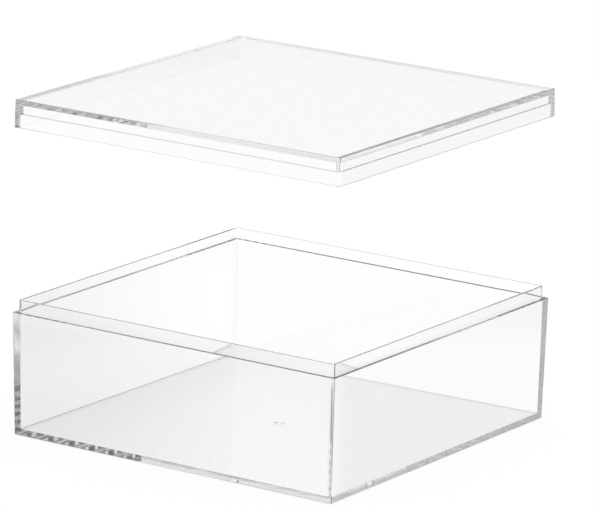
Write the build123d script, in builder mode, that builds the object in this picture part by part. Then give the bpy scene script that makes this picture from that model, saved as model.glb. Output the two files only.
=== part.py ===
"""Clear square keepsake box: a deep moulded tray and a lift-off lid that sits flush on its rim.

Lengths are millimetres and angles degrees. The origin is the middle of the tray's underside, +Z is up
and the walls run along X and Y. The lid is drawn lifted straight up off the tray by lid_raise.
"""
from build123d import *

import os

# Outside of the closed box, measured at the line where the lid meets the tray
box_side = 127.0
tray_height = 41.5
lid_height = 9.3
corner_radius = 0.6

# Ledge, tongue and lid skirt at the line where the lid meets the tray, and the floor and lid plate
ledge_width = 1.3
tongue_thickness = 0.85
skirt_thickness = 2.4
floor_thickness = 2.0
plate_thickness = 2.0

# Tongue that stands up inside the ledge, and the room that the lid keeps around it
tongue_height = 4.2
tongue_corner_radius = 1.2
rim_radius = 0.15
fit_clearance = 0.15
tongue_headroom = 0.3

# Mould draft of the outer faces, of the tongue and its rebate, and of the inner faces
outer_draft = 1.0
tongue_draft = 1.0
inner_draft = 0.5

# Edge rounding
underside_radius = 0.5
lid_top_radius = 0.3
inner_corner_radius = 0.5
floor_radius = 0.2
skirt_mouth_radius = 0.2

# Mould gate in the middle of the underside: a shallow dimple with the trimmed gate standing in it
gate_dimple_diameter = 3.8
gate_dimple_depth = 0.5
gate_stub_diameter = 1.6
gate_stub_height = 0.35

# How far the lid is lifted off its seat on the ledge
lid_raise = 62.0

# Sizes that both mouldings share
tongue_side = box_side - 2 * ledge_width
mouth_side = tongue_side - 2 * tongue_thickness
rebate_side = tongue_side + 2 * fit_clearance
lid_mouth_side = box_side - 2 * skirt_thickness
rim_height = tray_height + tongue_height
seat_height = tray_height + lid_raise
rebate_depth = tongue_height + tongue_headroom
lid_room_depth = lid_height - plate_thickness


def upward(height):
    """A level sketch plane at this height that extrudes up."""
    return Plane.XY.offset(height)


def downward(height):
    """A level sketch plane at this height that extrudes down."""
    return Plane(origin=(0, 0, height), z_dir=(0, 0, -1))


def drafted_block(mouth, side, depth, angle, upright_radius, end_radius=0):
    """A square block that starts at its mouth plane and narrows by the draft angle, with its upright
    edges rounded and, if it has an end radius, the edges of its far face too."""
    with BuildPart() as block:
        with BuildSketch(mouth):
            Rectangle(side, side)
        extrude(amount=depth)
        draft(block.faces().filter_by(Axis.Z, reverse=True), mouth, angle)
        upright_edges = block.edges().group_by(Axis.Z)[1]
        fillet(upright_edges, radius=upright_radius)
        if end_radius:
            far_face = block.faces().sort_by(Axis((0, 0, 0), mouth.z_dir))[-1]
            fillet(far_face.edges(), radius=end_radius)
    return block.part


# Blocks of the tray: its outside, the tongue, and the space that is left inside
tray_outside = drafted_block(
    downward(tray_height), box_side, tray_height, outer_draft, corner_radius, underside_radius
)
tongue_outside = drafted_block(
    upward(tray_height), tongue_side, tongue_height, tongue_draft, tongue_corner_radius, rim_radius
)
tray_space = drafted_block(
    downward(rim_height), mouth_side, rim_height - floor_thickness, inner_draft, inner_corner_radius,
    floor_radius,
)

# Blocks of the lid: its outside, the rebate that goes over the tongue, and the space under its plate
lid_outside = drafted_block(
    upward(seat_height), box_side, lid_height, outer_draft, corner_radius, lid_top_radius
)
lid_rebate = drafted_block(
    upward(seat_height), rebate_side, rebate_depth, tongue_draft, tongue_corner_radius + fit_clearance
)
lid_space = drafted_block(
    upward(seat_height), lid_mouth_side, lid_room_depth, inner_draft, inner_corner_radius, floor_radius
)

# Tray: drafted walls, a ledge all round the top with a thin tongue inside it, and a flat floor
with BuildPart() as tray:
    add(tray_outside)
    add(tongue_outside)
    add(tray_space, mode=Mode.SUBTRACT)
    rim_face = tray.faces().sort_by(Axis.Z)[-1]
    fillet(rim_face.inner_wires().edges(), radius=rim_radius)
    with BuildSketch(upward(0)):
        Circle(gate_dimple_diameter / 2)
    extrude(amount=gate_dimple_depth, mode=Mode.SUBTRACT)
    with BuildSketch(downward(gate_dimple_depth)):
        Circle(gate_stub_diameter / 2)
    extrude(amount=gate_stub_height)
tray.part.label = "tray"

# Lid: a flat plate with a skirt, which is rebated inside so that its thin lower half goes over the
# tongue and rests on the ledge while its thick upper half covers the tongue's rim
with BuildPart() as lid:
    add(lid_outside)
    add(lid_rebate, mode=Mode.SUBTRACT)
    add(lid_space, mode=Mode.SUBTRACT)
    seat_face = lid.faces().sort_by(Axis.Z)[0]
    fillet(seat_face.inner_wires().edges(), radius=skirt_mouth_radius)
lid.part.label = "lid"

os.makedirs("parts", exist_ok=True)
export_step(tray.part, "parts/tray.step")
export_step(lid.part, "parts/lid.step")
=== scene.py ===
"""Looks of the clear square keepsake box: the deep tray on a white table, its lid lifted off above it.

Lengths are metres. Both mouldings are modelled anew, with finely rounded edges, in the places of the solids.
"""
import math

import bmesh
import bpy
from mathutils import Matrix, Vector


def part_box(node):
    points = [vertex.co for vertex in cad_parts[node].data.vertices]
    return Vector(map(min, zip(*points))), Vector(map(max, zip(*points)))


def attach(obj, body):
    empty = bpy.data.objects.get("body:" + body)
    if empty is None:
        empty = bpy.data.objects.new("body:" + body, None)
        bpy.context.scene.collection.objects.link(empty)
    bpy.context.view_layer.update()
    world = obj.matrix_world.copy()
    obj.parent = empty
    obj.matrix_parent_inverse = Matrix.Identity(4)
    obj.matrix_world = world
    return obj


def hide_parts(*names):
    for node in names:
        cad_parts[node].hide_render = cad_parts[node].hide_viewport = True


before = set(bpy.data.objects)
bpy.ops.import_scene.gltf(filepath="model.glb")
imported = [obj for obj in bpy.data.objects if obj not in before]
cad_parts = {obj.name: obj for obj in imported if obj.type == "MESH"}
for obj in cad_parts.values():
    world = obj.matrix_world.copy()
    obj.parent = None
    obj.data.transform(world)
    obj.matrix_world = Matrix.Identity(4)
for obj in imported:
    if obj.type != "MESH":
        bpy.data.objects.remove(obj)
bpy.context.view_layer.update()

MM = 0.001

# Sizes of the two mouldings
tray_low, tray_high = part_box("tray")
lid_low, lid_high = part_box("lid")

BOX_SIDE = tray_high[0] - tray_low[0]
TONGUE_HEIGHT = 4.2 * MM
LEDGE_HEIGHT = tray_high[2] - TONGUE_HEIGHT
LID_HEIGHT = lid_high[2] - lid_low[2]

LEDGE_WIDTH = 1.3 * MM
TONGUE_THICKNESS = 0.85 * MM
SKIRT_THICKNESS = 2.4 * MM
FLOOR_THICKNESS = 2.0 * MM
PLATE_THICKNESS = 2.0 * MM
FIT_CLEARANCE = 0.15 * MM
TONGUE_HEADROOM = 0.3 * MM

MOUTH_SIDE = BOX_SIDE - 2 * (LEDGE_WIDTH + TONGUE_THICKNESS)
REBATE_SIDE = BOX_SIDE - 2 * LEDGE_WIDTH + 2 * FIT_CLEARANCE
REBATE_DEPTH = TONGUE_HEIGHT + TONGUE_HEADROOM
LID_MOUTH_SIDE = BOX_SIDE - 2 * SKIRT_THICKNESS

OUTER_DRAFT = math.radians(1.0)
TONGUE_DRAFT = math.radians(1.0)
INNER_DRAFT = math.radians(0.5)

# Roundings, the last three of creases that a mould can't leave quite sharp
CORNER_RADIUS = 0.6 * MM
TONGUE_CORNER_RADIUS = 1.2 * MM
INNER_CORNER_RADIUS = 0.5 * MM
RIM_RADIUS = 0.15 * MM
UNDERSIDE_RADIUS = 0.5 * MM
LID_TOP_RADIUS = 0.3 * MM
FLOOR_RADIUS = 0.2 * MM
SKIRT_MOUTH_RADIUS = 0.2 * MM
SEAT_CREASE_RADIUS = 0.1 * MM
LEDGE_CREASE_RADIUS = 0.05 * MM
STEP_CREASE_RADIUS = 0.22 * MM

# Faces along a rounding, and the profile of a plain round one
CORNER_STEPS = 8
EDGE_STEPS = 6
CREASE_STEPS = 3
ROUND_PROFILE = 0.5

# Gate mark under the tray, and the cuts of a side that make its ring round
GATE_DIMPLE_RADIUS = 1.9 * MM
GATE_DIMPLE_DEPTH = 0.5 * MM
GATE_STUB_RADIUS = 0.8 * MM
GATE_STUB_HEIGHT = 0.35 * MM
GATE_CUTS = 7

# To be picked: how near to a height a corner lies, how level a face is, and how sharp a crease is
TOUCH = 0.01 * MM
LEVEL = 0.9
CREASE = 0.8

# Shading: the angle from which an edge stays sharp, and how much large flat faces count beside a rounding
SMOOTH_ANGLE = math.radians(30)
FLAT_WEIGHT = 100

# Clear plastic: its polish, the mould's flow ripples, its refraction, and how little light it keeps back
POLISH = 0.025
RIPPLE_SCALE = 90.0
RIPPLE_DETAIL = 1.0
RIPPLE_ROUGHNESS = 0.4
RIPPLE_DEPTH = 0.02 * MM
PLASTIC_IOR = 1.49
SHADOW_TINT = 0.97
SOAK = 0.5

# Camera: its place in radians and metres, its frame in pixels, its sensor in millimetres
ELEVATION = math.radians(14.520)
AZIMUTH = math.radians(34.079)
ROLL = math.radians(1.306)
DISTANCE = 1.860
ASIDE = 5.218 * MM
TARGET_HEIGHT = 59.144 * MM
FRAME_WIDTH = 600
FOCAL_PIXELS = 5670.1
SENSOR_WIDTH = 36
CLIP_START = 0.05
CLIP_END = 50

# Table: its matt shade, the level that the eye sees, and the levels that the clear plastic shows, with
# painted shadow, shade and dark reflections
TABLE_SIDE = 12
TABLE_DROP = 0.3 * MM
TABLE_SHADE = 0.12
TABLE_SEEN = 0.9
TABLE_THROUGH = 0.895
# Painted shade on the table near the box's left
TABLE_PAINTED_SHADE_LEFT = 0.775
# Painted shadow of the tray on the table under it, seen through the clear plastic
TABLE_UNDER_MIDDLE = 0.92
PAINTED_SHADOW_UNDER_SIDES = 0.785
UNDER_BACK_SHADE = 0.07
# Painted dark reflections: the table's levels where the clear plastic mirrors it
TABLE_MIRRORED_NEAR = 0.3
TABLE_MIRRORED_LEFT = 0.5
TABLE_MIRRORED_RIGHT = 0.34

# Painted contact shadow, a dark line on the table round the foot of the box: its share, its reach outwards
# and its soft inner edge
CONTACT_SHADE = 0.6
CONTACT_REACH = 2 * MM
CONTACT_EDGE = 1.5 * MM

# Where the levels fade in on the table: across or ahead in the view, out from the middle, or along X
LEFT_ACROSS = (-20 * MM, -100 * MM)
LEFT_ENDS_OUT = (200 * MM, 280 * MM)
RING_STARTS_OUT = (150 * MM, 250 * MM)
RING_ENDS_OUT = (270 * MM, 300 * MM)
FAR_STARTS_OUT = (375 * MM, 450 * MM)
CLOSE_STARTS_OUT = (63 * MM, 66 * MM)
CLOSE_ENDS_OUT = (80 * MM, 95 * MM)
BEHIND_ENDS_OUT = (150 * MM, 180 * MM)
BEHIND_AHEAD = (0.0, 40 * MM)
BEHIND_ACROSS = (-40 * MM, 0.0)
UNDER_LEFT_ACROSS = (-5 * MM, -70 * MM)
UNDER_RIGHT_ACROSS = (14 * MM, 22 * MM)
UNDER_BACK_X = (-25 * MM, -62 * MM)

# Limits between the whole numbers of times that a ray has been mirrored
MIRRORED_ONCE = 0.5
MIRRORED_TWICE = 1.5

# Backdrop along the camera's view, and the darker room out to both sides of it
BACKDROP_LEVEL = 0.86
BACKDROP_HALF = math.radians(33)
ROOM_FROM = math.radians(50)
ROOM_LEFT = 0.46
ROOM_RIGHT = 0.1
ROOM_TOP = 0.7
ROOM_TOP_FROM = 0.5
ROOM_TOP_FULL = 0.75

# Keeps along_view from dividing by zero in the middle of the table and of the sky
TINY = 1e-6

# How often light is followed as it turns inside the clear walls
GLASS_BOUNCES = 48


# Modelling
def draft_scale(side, travel, draft):
    """How much a square of this side shrinks over the travel at this draft."""
    return (side - 2 * abs(travel) * math.tan(draft)) / side


def start_block(name, low, high):
    """A square block of the box's side between two heights, in edit mode with nothing selected."""
    bpy.ops.object.select_all(action="DESELECT")
    middle = (low + high) / 2
    bpy.ops.mesh.primitive_cube_add(size=1, location=(0, 0, middle), scale=(BOX_SIDE, BOX_SIDE, high - low))
    block = bpy.context.object
    block.name = name
    block.data.name = name
    bpy.ops.object.transform_apply(location=True, rotation=True, scale=True)
    bpy.ops.object.mode_set(mode="EDIT")
    bpy.ops.mesh.select_all(action="DESELECT")
    return block


def pick_faces(piece, keep):
    """Select only the faces that the test keeps."""
    bpy.ops.mesh.select_mode(type="FACE")
    bpy.ops.mesh.select_all(action="DESELECT")
    cage = bmesh.from_edit_mesh(piece.data)
    for face in cage.faces:
        face.select_set(keep(face))
    bmesh.update_edit_mesh(piece.data)


def pick_edges(piece, keep):
    """Select only the edges that the test keeps."""
    bpy.ops.mesh.select_mode(type="EDGE")
    bpy.ops.mesh.select_all(action="DESELECT")
    cage = bmesh.from_edit_mesh(piece.data)
    for edge in cage.edges:
        edge.select_set(keep(edge))
    bmesh.update_edit_mesh(piece.data)


def picked_corners(piece):
    """The places of the corners of the selected faces."""
    cage = bmesh.from_edit_mesh(piece.data)
    return [vert.co for face in cage.faces if face.select for vert in face.verts]


def level_face(height):
    """A test for level faces at this height."""
    return lambda face: abs(face.calc_center_median().z - height) < TOUCH and abs(face.normal.z) > LEVEL


def narrow(factor):
    """Shrink what is selected towards the middle of the box."""
    bpy.ops.transform.resize(value=(factor, factor, 1), center_override=(0, 0, 0))


def step_in(width):
    """Inset the selected face evenly by this width."""
    bpy.ops.mesh.inset(thickness=width, use_even_offset=True)


def push(rise):
    """Extrude the selected face straight up or down."""
    bpy.ops.mesh.extrude_region_move(TRANSFORM_OT_translate={"value": (0, 0, rise)})


def carry(rise, side, draft):
    """Extrude the selected square face up or down, narrowing by the draft, and return its new side."""
    push(rise)
    factor = draft_scale(side, rise, draft)
    narrow(factor)
    return side * factor


def round_uprights(piece, low, high, radius):
    """Round the upright edges that run between two heights."""
    def runs_between(edge):
        ends = sorted(vert.co.z for vert in edge.verts)
        ends_meet = abs(ends[0] - low) < TOUCH and abs(ends[1] - high) < TOUCH
        return ends_meet and edge.calc_face_angle(0) > CREASE
    pick_edges(piece, runs_between)
    bpy.ops.mesh.bevel(offset=radius, segments=CORNER_STEPS, profile=ROUND_PROFILE, clamp_overlap=False)


def round_level_edges(piece, height, radius, steps, inside=BOX_SIDE, outside=BOX_SIDE / 2):
    """Round the creased edges at this height whose square ring has a side between two limits."""
    def lies_level(edge):
        a, b = (vert.co for vert in edge.verts)
        at_height = abs(a.z - height) < TOUCH and abs(b.z - height) < TOUCH
        ring_side = max(abs(a.x + b.x), abs(a.y + b.y))
        return at_height and outside < ring_side < inside and edge.calc_face_angle(0) > CREASE
    pick_edges(piece, lies_level)
    bpy.ops.mesh.bevel(offset=radius, segments=steps, profile=ROUND_PROFILE, clamp_overlap=False)


def finish_moulding(piece):
    """Leave edit mode and shade the roundings smoothly while the flat faces stay flat."""
    bpy.ops.object.mode_set(mode="OBJECT")
    bpy.ops.object.select_all(action="DESELECT")
    piece.select_set(True)
    bpy.context.view_layer.objects.active = piece
    bpy.ops.object.shade_smooth_by_angle(angle=SMOOTH_ANGLE)
    weigh = piece.modifiers.new("flat_faces_stay_flat", "WEIGHTED_NORMAL")
    weigh.keep_sharp = True
    weigh.weight = FLAT_WEIGHT
    bpy.ops.object.modifier_apply(modifier=weigh.name)


def mark_gate(tray):
    """The shallow dimple in the middle of the underside, with the trimmed gate standing in it."""
    pick_faces(tray, level_face(0))
    half = max(corner.x for corner in picked_corners(tray))
    step_in(half - GATE_DIMPLE_RADIUS)
    bpy.ops.mesh.subdivide(number_cuts=GATE_CUTS)
    bpy.ops.mesh.dissolve_faces()
    bpy.ops.transform.tosphere(value=1)
    on_ring = picked_corners(tray)[0]
    narrow(GATE_DIMPLE_RADIUS / math.hypot(on_ring.x, on_ring.y))
    push(GATE_DIMPLE_DEPTH)
    step_in(GATE_DIMPLE_RADIUS - GATE_STUB_RADIUS)
    push(-GATE_STUB_HEIGHT)


def mould_tray():
    """Drafted walls, the ledge and tongue round the mouth, the hollow, and the gate mark underneath."""
    tray = start_block("clear_tray", 0, LEDGE_HEIGHT)
    rim = LEDGE_HEIGHT + TONGUE_HEIGHT
    pick_faces(tray, level_face(0))
    narrow(draft_scale(BOX_SIDE, LEDGE_HEIGHT, OUTER_DRAFT))

    pick_faces(tray, level_face(LEDGE_HEIGHT))
    step_in(LEDGE_WIDTH)
    side = carry(TONGUE_HEIGHT, BOX_SIDE - 2 * LEDGE_WIDTH, TONGUE_DRAFT)
    step_in((side - MOUTH_SIDE) / 2)
    carry(FLOOR_THICKNESS - rim, MOUTH_SIDE, INNER_DRAFT)
    mark_gate(tray)

    round_uprights(tray, 0, LEDGE_HEIGHT, CORNER_RADIUS)
    round_uprights(tray, LEDGE_HEIGHT, rim, TONGUE_CORNER_RADIUS)
    round_uprights(tray, FLOOR_THICKNESS, rim, INNER_CORNER_RADIUS)
    round_level_edges(tray, 0, UNDERSIDE_RADIUS, EDGE_STEPS)
    round_level_edges(tray, FLOOR_THICKNESS, FLOOR_RADIUS, EDGE_STEPS)
    round_level_edges(tray, rim, RIM_RADIUS, CREASE_STEPS)
    round_level_edges(tray, LEDGE_HEIGHT, LEDGE_CREASE_RADIUS, CREASE_STEPS)
    finish_moulding(tray)
    return tray


def mould_lid():
    """The plate and its skirt, rebated inside to go over the tongue."""
    seat = lid_low[2]
    top = lid_high[2]
    step = seat + REBATE_DEPTH
    ceiling = top - PLATE_THICKNESS
    lid = start_block("clear_lid", seat, top)
    pick_faces(lid, level_face(top))
    narrow(draft_scale(BOX_SIDE, LID_HEIGHT, OUTER_DRAFT))

    pick_faces(lid, level_face(seat))
    step_in((BOX_SIDE - REBATE_SIDE) / 2)
    side = carry(REBATE_DEPTH, REBATE_SIDE, TONGUE_DRAFT)
    inner_side = LID_MOUTH_SIDE * draft_scale(LID_MOUTH_SIDE, REBATE_DEPTH, INNER_DRAFT)
    step_in((side - inner_side) / 2)
    carry(ceiling - step, inner_side, INNER_DRAFT)

    round_uprights(lid, seat, top, CORNER_RADIUS)
    round_uprights(lid, seat, step, TONGUE_CORNER_RADIUS + FIT_CLEARANCE)
    round_uprights(lid, step, ceiling, INNER_CORNER_RADIUS)
    round_level_edges(lid, top, LID_TOP_RADIUS, EDGE_STEPS)
    round_level_edges(lid, ceiling, FLOOR_RADIUS, EDGE_STEPS)
    round_level_edges(lid, step, STEP_CREASE_RADIUS, EDGE_STEPS)
    round_level_edges(lid, seat, SKIRT_MOUTH_RADIUS, CREASE_STEPS, inside=REBATE_SIDE + TOUCH)
    past_mouth = REBATE_SIDE + 2 * SKIRT_MOUTH_RADIUS
    round_level_edges(lid, seat, SEAT_CREASE_RADIUS, CREASE_STEPS, outside=past_mouth)
    finish_moulding(lid)
    return lid


# Node helpers
class Wire:
    """An output of a node, on which Python's operators add Math nodes."""

    def __init__(self, bench, socket):
        self.bench = bench
        self.socket = socket

    def out(self, name):
        """Another output of the same node."""
        return Wire(self.bench, self.socket.node.outputs[name])

    def maths(self, operation, first, second=0.0):
        """The result of a Math node on two values, each a wire or a number."""
        return self.bench.node("ShaderNodeMath", {"operation": operation}, {0: first, 1: second})

    def __add__(self, other):
        return self.maths("ADD", self, other)

    def __radd__(self, other):
        return self.maths("ADD", other, self)

    def __sub__(self, other):
        return self.maths("SUBTRACT", self, other)

    def __rsub__(self, other):
        return self.maths("SUBTRACT", other, self)

    def __mul__(self, other):
        return self.maths("MULTIPLY", self, other)

    def __rmul__(self, other):
        return self.maths("MULTIPLY", other, self)

    def __truediv__(self, other):
        return self.maths("DIVIDE", self, other)

    def __or__(self, other):
        """The larger of the two, so that shares of 0 and 1 join like either-or."""
        return self.maths("MAXIMUM", self, other)

    def __abs__(self):
        return self.maths("ABSOLUTE", self)

    def root(self):
        return self.maths("SQRT", self)

    def over(self, limit):
        """1 above the limit and 0 below it."""
        return self.maths("GREATER_THAN", self, limit)

    def rise(self, start, end):
        """A share that goes smoothly from 0 at the start value to 1 at the end value."""
        return self.bench.node("ShaderNodeMapRange", {"interpolation_type": "SMOOTHSTEP"},
                               {"Value": self, "From Min": start, "From Max": end})


class Bench:
    """The emptied node tree of a material or world."""

    def __init__(self, owner):
        owner.use_nodes = True
        self.tree = owner.node_tree
        self.tree.nodes.clear()

    def node(self, kind, settings, sockets, give=0):
        """Add a node: its settings first, then the values or links of its sockets; give one output."""
        made = self.tree.nodes.new(kind)
        for name, value in settings.items():
            setattr(made, name, value)
        for name, value in sockets.items():
            if isinstance(value, Wire):
                self.tree.links.new(value.socket, made.inputs[name])
            else:
                made.inputs[name].default_value = value
        return Wire(self, made.outputs[give]) if made.outputs else None


def grey(level):
    """A plain grey as a colour."""
    return (level, level, level, 1)


def blend(first, second, share):
    """The first level where the share is 0 and the second where it is 1."""
    return first + share * (second - first)


# Clear plastic
def moulded_plastic(name):
    """Water-clear plastic with the slight flow ripples of a moulding."""
    material = bpy.data.materials.new(name)
    bench = Bench(material)
    place = bench.node("ShaderNodeTexCoord", {}, {}, "Object")
    swell = bench.node("ShaderNodeTexNoise", {"noise_dimensions": "3D"},
                       {"Vector": place, "Scale": RIPPLE_SCALE, "Detail": RIPPLE_DETAIL,
                        "Roughness": RIPPLE_ROUGHNESS})
    ripples = bench.node("ShaderNodeBump", {}, {"Strength": 1.0, "Distance": RIPPLE_DEPTH, "Height": swell})
    plastic = bench.node("ShaderNodeBsdfPrincipled", {},
                         {"Base Color": grey(1.0), "Roughness": POLISH, "IOR": PLASTIC_IOR,
                          "Transmission Weight": 1.0, "Normal": ripples})
    shadow_ray = bench.node("ShaderNodeLightPath", {}, {}, "Is Shadow Ray")
    clear = bench.node("ShaderNodeBsdfTransparent", {}, {"Color": grey(SHADOW_TINT)})
    surface = bench.node("ShaderNodeMixShader", {}, {0: shadow_ray, 1: plastic, 2: clear})
    soak = bench.node("ShaderNodeVolumeAbsorption", {}, {"Color": grey(0.0), "Density": SOAK})
    bench.node("ShaderNodeOutputMaterial", {}, {"Surface": surface, "Volume": soak})
    return material


def dress(piece, node):
    """Let the finished piece take its solid's place, and give it the plastic."""
    piece.data.materials.clear()
    piece.data.materials.append(moulded_plastic(piece.name + "_plastic"))
    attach(piece, node)
    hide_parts(node)


# Studio
def across_view(x, y):
    """How far to the camera's right a place or direction lies."""
    return x * math.cos(AZIMUTH) + y * math.sin(AZIMUTH)


def ahead_in_view(x, y):
    """How far ahead, away from the camera, a place or direction lies."""
    return y * math.cos(AZIMUTH) - x * math.sin(AZIMUTH)


def along_view(x, y):
    """1 near the camera's line of view, ahead of it and behind, and 0 out to both sides."""
    across = across_view(x, y)
    ahead = ahead_in_view(x, y)
    cosine = abs(ahead) / (ahead * ahead + across * across + TINY).root()
    return cosine.rise(math.cos(ROOM_FROM), math.cos(BACKDROP_HALF))


def painted_shadow_under_box(x, y):
    """Painted shadow of the tray on the table under it: lightest in the middle, darker to both sides and the
    back left.
    """
    across = across_view(x, y)
    beside = across.rise(*UNDER_LEFT_ACROSS) | across.rise(*UNDER_RIGHT_ACROSS)
    level = blend(TABLE_UNDER_MIDDLE, PAINTED_SHADOW_UNDER_SIDES, beside)
    return level * (1 - UNDER_BACK_SHADE * x.rise(*UNDER_BACK_X))


def around_box_with_painted_shade(x, y, square, times_mirrored):
    """The open table's level in clear plastic: darker on the left with painted shade, and darkest where it
    is mirrored, with painted dark reflections.
    """
    reach = (x * x + y * y).root()
    across = across_view(x, y)
    # Painted shade near the box's left, fading out further away
    painted_shade_near_left = across.rise(*LEFT_ACROSS) * (1 - reach.rise(*LEFT_ENDS_OUT))
    level = blend(TABLE_THROUGH, TABLE_PAINTED_SHADE_LEFT, painted_shade_near_left)

    # Painted dark reflections: darker rings of table where the plastic mirrors it once
    mirrored = times_mirrored.over(MIRRORED_ONCE)
    painted_dark_reflection_rings = reach.rise(*RING_STARTS_OUT) - reach.rise(*RING_ENDS_OUT) + reach.rise(*FAR_STARTS_OUT)
    side = blend(TABLE_MIRRORED_LEFT, TABLE_MIRRORED_RIGHT, across.over(0.0))
    level = blend(level, side, mirrored * (1 - along_view(x, y)) * painted_dark_reflection_rings)

    # Painted dark reflections where the plastic mirrors it twice: close round the box, and behind it to the
    # right
    mirrored_again = times_mirrored.over(MIRRORED_TWICE)
    past_close = square.rise(*CLOSE_ENDS_OUT)
    close = square.rise(*CLOSE_STARTS_OUT) - past_close
    behind = past_close - square.rise(*BEHIND_ENDS_OUT)
    painted_reflection_behind_right = behind * ahead_in_view(x, y).rise(*BEHIND_AHEAD) * across.rise(*BEHIND_ACROSS)
    return blend(level, TABLE_MIRRORED_NEAR, mirrored_again * (close + painted_reflection_behind_right))


def studio_table():
    """White table top: nearly white through the clear plastic, with the tray's painted shadow and a painted
    contact shadow, and darker where that mirrors it, as painted dark reflections.
    """
    bpy.ops.object.select_all(action="DESELECT")
    bpy.ops.mesh.primitive_plane_add(size=TABLE_SIDE, location=(0, 0, -TABLE_DROP))
    table = bpy.context.object
    table.name = "white_table"
    material = bpy.data.materials.new("white_table_with_painted_shade")
    bench = Bench(material)
    place = bench.node("ShaderNodeTexCoord", {}, {}, "Object")
    x = bench.node("ShaderNodeSeparateXYZ", {}, {0: place}, "X")
    y = x.out("Y")
    # How far out a place lies, measured in squares like the box's own outline
    square = abs(x) | abs(y)
    camera_ray = bench.node("ShaderNodeLightPath", {}, {}, "Is Camera Ray")
    plastic_ray = camera_ray.out("Is Transmission Ray") | camera_ray.out("Is Glossy Ray")

    around = around_box_with_painted_shade(x, y, square, camera_ray.out("Glossy Depth"))
    # Painted contact shadow: a dark line round the foot of the box, seen only through the plastic
    clear = square.rise(BOX_SIDE / 2 - CONTACT_EDGE, BOX_SIDE / 2)
    painted_contact_shadow = clear - square.rise(BOX_SIDE / 2, BOX_SIDE / 2 + CONTACT_REACH)
    shown_with_painted_shade = blend(painted_shadow_under_box(x, y), around, clear) * (1 - painted_contact_shadow * CONTACT_SHADE)
    # The eye sees the table evenly; the clear plastic shows it with all the painted shade
    strength = camera_ray * TABLE_SEEN + plastic_ray * shown_with_painted_shade

    glow_with_painted_shade = bench.node("ShaderNodeEmission", {}, {"Color": grey(1.0), "Strength": strength})
    matt = bench.node("ShaderNodeBsdfDiffuse", {}, {"Color": grey(TABLE_SHADE)})
    surface = bench.node("ShaderNodeAddShader", {}, {0: glow_with_painted_shade, 1: matt})
    bench.node("ShaderNodeOutputMaterial", {}, {"Surface": surface})
    table.data.materials.append(material)


def studio_room():
    """White all round for the eye; clear plastic shows the backdrop and the darker room beside it."""
    sky = bpy.data.worlds.new("studio")
    bpy.context.scene.world = sky
    bench = Bench(sky)
    direction = bench.node("ShaderNodeTexCoord", {}, {}, "Generated")
    x = bench.node("ShaderNodeSeparateXYZ", {}, {0: direction}, "X")
    y = x.out("Y")
    side = blend(ROOM_LEFT, ROOM_RIGHT, across_view(x, y).over(0.0))
    side = blend(side, ROOM_TOP, x.out("Z").rise(ROOM_TOP_FROM, ROOM_TOP_FULL))
    room = blend(side, BACKDROP_LEVEL, along_view(x, y))
    camera_ray = bench.node("ShaderNodeLightPath", {}, {}, "Is Camera Ray")
    plain = camera_ray | camera_ray.out("Is Diffuse Ray")
    back = bench.node("ShaderNodeBackground", {}, {"Color": grey(1.0), "Strength": blend(room, 1.0, plain)})
    bench.node("ShaderNodeOutputWorld", {}, {"Surface": back})


def set_camera():
    """Camera at the photograph's viewing angle."""
    away = Vector((math.sin(AZIMUTH) * math.cos(ELEVATION), -math.cos(AZIMUTH) * math.cos(ELEVATION),
                   math.sin(ELEVATION)))
    target = Vector((ASIDE * math.cos(AZIMUTH), ASIDE * math.sin(AZIMUTH), TARGET_HEIGHT))
    level = (-away).cross(Vector((0, 0, 1))).normalized()
    upright = level.cross(-away)
    right = math.cos(ROLL) * level + math.sin(ROLL) * upright
    up = -math.sin(ROLL) * level + math.cos(ROLL) * upright
    place = Matrix.Identity(4)
    for column, axis in enumerate((right, up, away)):
        place.col[column] = (*axis, 0)
    place.translation = target + away * DISTANCE
    data = bpy.data.cameras.new("camera")
    data.sensor_width = SENSOR_WIDTH
    data.sensor_fit = "HORIZONTAL"
    data.lens = SENSOR_WIDTH * FOCAL_PIXELS / FRAME_WIDTH
    data.clip_start = CLIP_START
    data.clip_end = CLIP_END
    camera = bpy.data.objects.new("camera", data)
    bpy.context.scene.collection.objects.link(camera)
    camera.matrix_world = place
    bpy.context.scene.camera = camera


dress(mould_tray(), "tray")
dress(mould_lid(), "lid")
studio_table()
studio_room()
set_camera()

bpy.context.scene.view_settings.view_transform = "Standard"
bpy.context.scene.cycles.max_bounces = GLASS_BOUNCES
bpy.context.scene.cycles.glossy_bounces = GLASS_BOUNCES
bpy.context.scene.cycles.transmission_bounces = GLASS_BOUNCES
